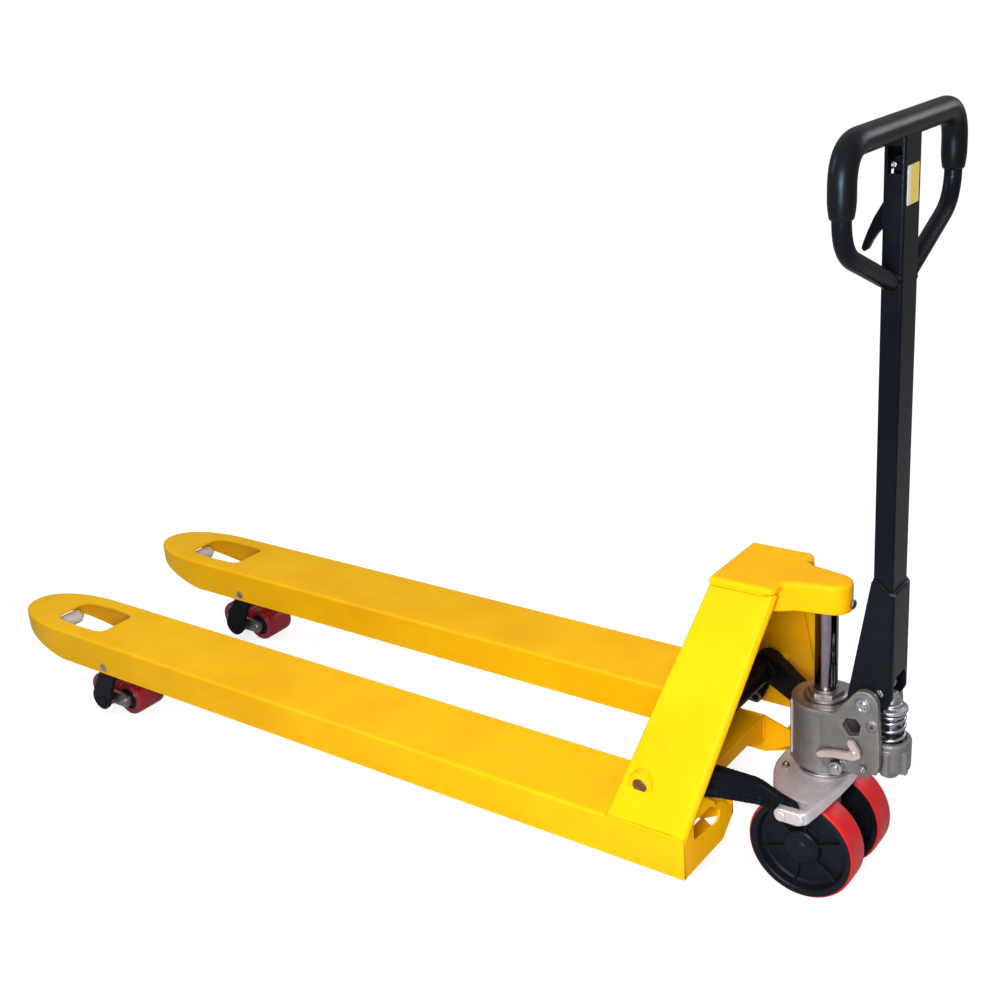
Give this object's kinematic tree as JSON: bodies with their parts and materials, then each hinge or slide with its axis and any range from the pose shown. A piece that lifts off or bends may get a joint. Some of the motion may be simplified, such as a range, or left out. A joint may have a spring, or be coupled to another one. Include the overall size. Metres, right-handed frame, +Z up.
{
  "type": "pallet jack",
  "caption": "Hand pallet truck with long forks, tandem load rollers, steered wheels and a tilting pump handle; forks raised.",
  "frame": {"origin": "centre of the footprint, on the floor", "axes": "+X from the fork tips towards the operator, +Z up, +Y to the right of an operator who faces the forks"},
  "size_m": [1.925, 0.553, 1.223],
  "materials": {
    "frame_paint": "gloss powder coat, slight orange peel",
    "handle_paint": "satin black powder coat",
    "grip_rubber": "smooth moulded rubber",
    "pump_casting": "shot-blasted casting under clear lacquer",
    "chrome_plate": "hard chrome, mirror polished",
    "zinc_plate": "bright zinc plating",
    "bare_steel": "machined steel, lightly oiled",
    "shaft_steel": "oil-browned steel",
    "wheel_polyurethane": "cast red polyurethane, satin",
    "roller_polyurethane": "dark red polyurethane, satin",
    "entry_nylon": "off-white nylon",
    "hub_plastic": "black glass-filled nylon",
    "label_film": "plain printed film, no text"
  },
  "bodies": {
    "chassis": {"fork_left": "frame_paint", "fork_right": "frame_paint", "side_plate_left": "frame_paint", "side_plate_right": "frame_paint", "back_plate": "frame_paint", "cross_member": "frame_paint", "head_plate": "frame_paint", "ram": "chrome_plate", "ram_screw": "zinc_plate", "rocker_shaft": "shaft_steel", "roller_frame_pin_left": "zinc_plate", "roller_frame_pin_right": "zinc_plate"},
    "thrust_carriage": {"thrust_plate": "pump_casting", "thrust_pin_left": "zinc_plate", "thrust_pin_right": "zinc_plate", "thrust_bearing": "bare_steel"},
    "pump": {"pump_body": "pump_casting", "pump_cylinder": "pump_casting", "ram_gland": "bare_steel", "wheel_axle": "bare_steel", "valve_cap": "zinc_plate", "valve_screw": "zinc_plate", "handle_pin": "zinc_plate", "pump_spring": "bare_steel"},
    "piston": {"pump_piston": "zinc_plate", "spring_cap": "zinc_plate"},
    "lowering_lever": {"release_lever": "bare_steel"},
    "handle": {"handle_tube": "handle_paint", "yoke": "handle_paint", "handle_loop": "handle_paint", "grip_cover": "grip_rubber", "cam_pin": "zinc_plate", "label_plate": "label_film", "trigger_pin": "zinc_plate"},
    "cam": {"cam_roller": "zinc_plate"},
    "finger_trigger": {"trigger": "handle_paint"},
    "release_rod": {"pull_rod": "zinc_plate"},
    "rocker_arm": {"rocker": "handle_paint"},
    "push_rod_left_body": {"push_rod_left": "bare_steel"},
    "roller_frame_left_body": {"roller_frame_left": "handle_paint"},
    "bogie_left_body": {"bogie_left": "bare_steel"},
    "entry_roller_left_body": {"entry_roller_left": "entry_nylon"},
    "wheel_left": {"wheel_hub_left": "hub_plastic", "wheel_tread_left": "wheel_polyurethane", "wheel_bearing_left": "bare_steel"},
    "load_roller_left_rear": {"load_roller_core_left_rear": "hub_plastic", "load_roller_tyre_left_rear": "roller_polyurethane"},
    "load_roller_left_front": {"load_roller_core_left_front": "hub_plastic", "load_roller_tyre_left_front": "roller_polyurethane"},
    "push_rod_right_body": {"push_rod_right": "bare_steel"},
    "roller_frame_right_body": {"roller_frame_right": "handle_paint"},
    "bogie_right_body": {"bogie_right": "bare_steel"},
    "entry_roller_right_body": {"entry_roller_right": "entry_nylon"},
    "wheel_right": {"wheel_hub_right": "hub_plastic", "wheel_tread_right": "wheel_polyurethane", "wheel_bearing_right": "bare_steel"},
    "load_roller_right_rear": {"load_roller_core_right_rear": "hub_plastic", "load_roller_tyre_right_rear": "roller_polyurethane"},
    "load_roller_right_front": {"load_roller_core_right_front": "hub_plastic", "load_roller_tyre_right_front": "roller_polyurethane"}
  },
  "joints": [
    {"name": "lift", "type": "slide", "parent": "chassis", "child": "thrust_carriage", "axis": [0, 0, 1], "range_m": [0, 0.11]},
    {"name": "steer", "type": "hinge", "parent": "thrust_carriage", "child": "pump", "pos_m": [0.8245, 0, 0.2], "axis": [0, 0, 1], "range_deg": [-90, 90]},
    {"name": "handle_tilt", "type": "hinge", "parent": "pump", "child": "handle", "pos_m": [0.907, 0, 0.364], "axis": [0, 1, 0], "range_deg": [0, 75], "stiffness_Nm_per_rad": 15, "springref_deg": -34.38},
    {"name": "pump_stroke", "type": "slide", "parent": "pump", "child": "piston", "axis": [0, 0, -1], "range_m": [0, 0.0295], "deforming": ["pump_spring"]},
    {"name": "cam_spin", "type": "hinge", "parent": "handle", "child": "cam", "pos_m": [0.9249, 0, 0.38], "axis": [0, 1, 0], "continuous": true},
    {"name": "trigger_pull", "type": "hinge", "parent": "handle", "child": "finger_trigger", "pos_m": [0.9225, 0, 1.158], "axis": [0, 1, 0], "range_deg": [-6, 12], "stiffness_Nm_per_rad": 4},
    {"name": "release_rod_travel", "type": "slide", "parent": "handle", "child": "release_rod", "axis": [0, 0, 1], "range_m": [-0.0021, 0.0011]},
    {"name": "lowering_lever_turn", "type": "hinge", "parent": "pump", "child": "lowering_lever", "pos_m": [0.8955, -0.0565, 0.28], "axis": [0, 1, 0], "range_deg": [-2, 3.8]},
    {"name": "rocker_turn", "type": "hinge", "parent": "chassis", "child": "rocker_arm", "pos_m": [0.6285, 0, 0.2416], "axis": [0, 1, 0], "range_deg": [-33.5, 0]},
    {"name": "push_rod_left_pin", "type": "hinge", "parent": "rocker_arm", "child": "push_rod_left_body", "pos_m": [0.60984, -0.195, 0.1786], "axis": [0, 1, 0], "range_deg": [0, 33.5]},
    {"name": "roller_frame_left_swing", "type": "hinge", "parent": "chassis", "child": "roller_frame_left_body", "pos_m": [-0.6475, -0.195, 0.1346], "axis": [0, 1, 0], "range_deg": [0, 73.5]},
    {"name": "bogie_left_rock", "type": "hinge", "parent": "roller_frame_left_body", "child": "bogie_left_body", "pos_m": [-0.6905, -0.195, 0.037], "axis": [0, 1, 0], "range_deg": [-73.5, 0]},
    {"name": "entry_roller_left_spin", "type": "hinge", "parent": "chassis", "child": "entry_roller_left_body", "pos_m": [-0.8675, -0.195, 0.154], "axis": [0, 1, 0], "continuous": true},
    {"name": "wheel_left_spin", "type": "hinge", "parent": "pump", "child": "wheel_left", "pos_m": [0.8165, -0.0535, 0.09], "axis": [0, 1, 0], "continuous": true},
    {"name": "load_roller_left_rear_spin", "type": "hinge", "parent": "bogie_left_body", "child": "load_roller_left_rear", "pos_m": [-0.7315, -0.195, 0.037], "axis": [0, 1, 0], "continuous": true},
    {"name": "load_roller_left_front_spin", "type": "hinge", "parent": "bogie_left_body", "child": "load_roller_left_front", "pos_m": [-0.6495, -0.195, 0.037], "axis": [0, 1, 0], "continuous": true},
    {"name": "push_rod_right_pin", "type": "hinge", "parent": "rocker_arm", "child": "push_rod_right_body", "pos_m": [0.60984, 0.195, 0.1786], "axis": [0, 1, 0], "range_deg": [0, 33.5]},
    {"name": "roller_frame_right_swing", "type": "hinge", "parent": "chassis", "child": "roller_frame_right_body", "pos_m": [-0.6475, 0.195, 0.1346], "axis": [0, 1, 0], "range_deg": [0, 73.5]},
    {"name": "bogie_right_rock", "type": "hinge", "parent": "roller_frame_right_body", "child": "bogie_right_body", "pos_m": [-0.6905, 0.195, 0.037], "axis": [0, 1, 0], "range_deg": [-73.5, 0]},
    {"name": "entry_roller_right_spin", "type": "hinge", "parent": "chassis", "child": "entry_roller_right_body", "pos_m": [-0.8675, 0.195, 0.154], "axis": [0, 1, 0], "continuous": true},
    {"name": "wheel_right_spin", "type": "hinge", "parent": "pump", "child": "wheel_right", "pos_m": [0.8165, 0.0535, 0.09], "axis": [0, 1, 0], "continuous": true},
    {"name": "load_roller_right_rear_spin", "type": "hinge", "parent": "bogie_right_body", "child": "load_roller_right_rear", "pos_m": [-0.7315, 0.195, 0.037], "axis": [0, 1, 0], "continuous": true},
    {"name": "load_roller_right_front_spin", "type": "hinge", "parent": "bogie_right_body", "child": "load_roller_right_front", "pos_m": [-0.6495, 0.195, 0.037], "axis": [0, 1, 0], "continuous": true}
  ],
  "couplings": [
    {"joint": "pump_stroke", "follows": "handle_tilt", "m_per_rad": 0.022268},
    {"joint": "release_rod_travel", "follows": "trigger_pull", "m_per_rad": -0.0095},
    {"joint": "lowering_lever_turn", "follows": "trigger_pull", "ratio": 0.3},
    {"joint": "rocker_turn", "follows": "lift", "rad_per_m": -5.2325},
    {"joint": "push_rod_left_pin", "follows": "lift", "rad_per_m": 5.2325},
    {"joint": "roller_frame_left_swing", "follows": "lift", "rad_per_m": 11.567},
    {"joint": "bogie_left_rock", "follows": "lift", "rad_per_m": -11.567},
    {"joint": "push_rod_right_pin", "follows": "lift", "rad_per_m": 5.2325},
    {"joint": "roller_frame_right_swing", "follows": "lift", "rad_per_m": 11.567},
    {"joint": "bogie_right_rock", "follows": "lift", "rad_per_m": -11.567}
  ]
}
